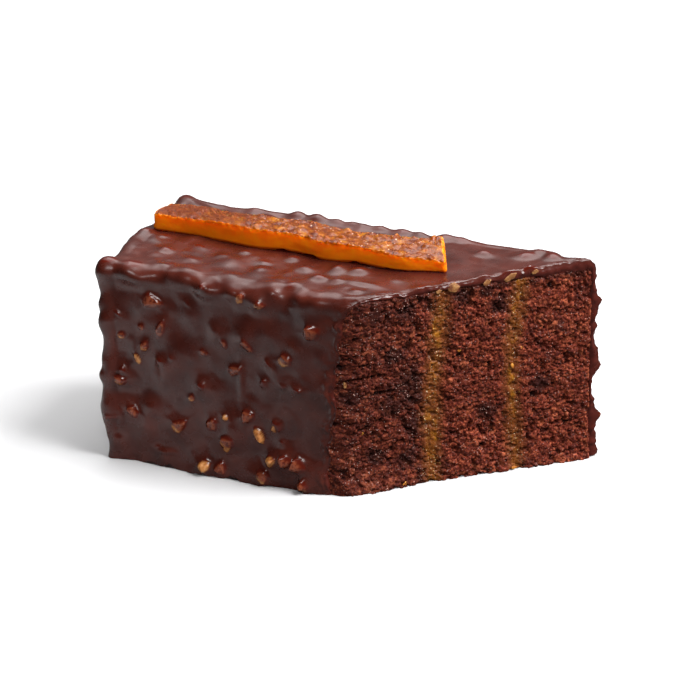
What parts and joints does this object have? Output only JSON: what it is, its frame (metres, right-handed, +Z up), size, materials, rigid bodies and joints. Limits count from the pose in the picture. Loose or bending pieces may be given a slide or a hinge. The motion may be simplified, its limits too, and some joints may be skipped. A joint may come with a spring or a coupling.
{
  "type": "chocolate orange cake",
  "caption": "Slant-cut piece of chocolate loaf cake with upright marmalade bands, nutty chocolate glaze and a strip of candied orange peel on top.",
  "frame": {"origin": "centre of the bounding box's base, on the surface that the cake stands on", "axes": "+X along the loaf from its whole end to the slanted cut, +Y across it to the long side, +Z up"},
  "size_m": [0.1342, 0.06, 0.0677],
  "materials": {
    "glaze": "dark chocolate glaze with chopped nuts, soft gloss",
    "sponge": "moist dark cocoa crumb, matt",
    "marmalade": "amber orange marmalade, wet",
    "candied_peel": "candied orange peel, glossy and slightly clear"
  },
  "bodies": {
    "root": {"glaze": "glaze", "sponge_front": "sponge", "sponge_middle": "sponge", "sponge_back": "sponge", "marmalade_front": "marmalade", "marmalade_back": "marmalade", "candied_peel": "candied_peel"}
  },
  "joints": []
}
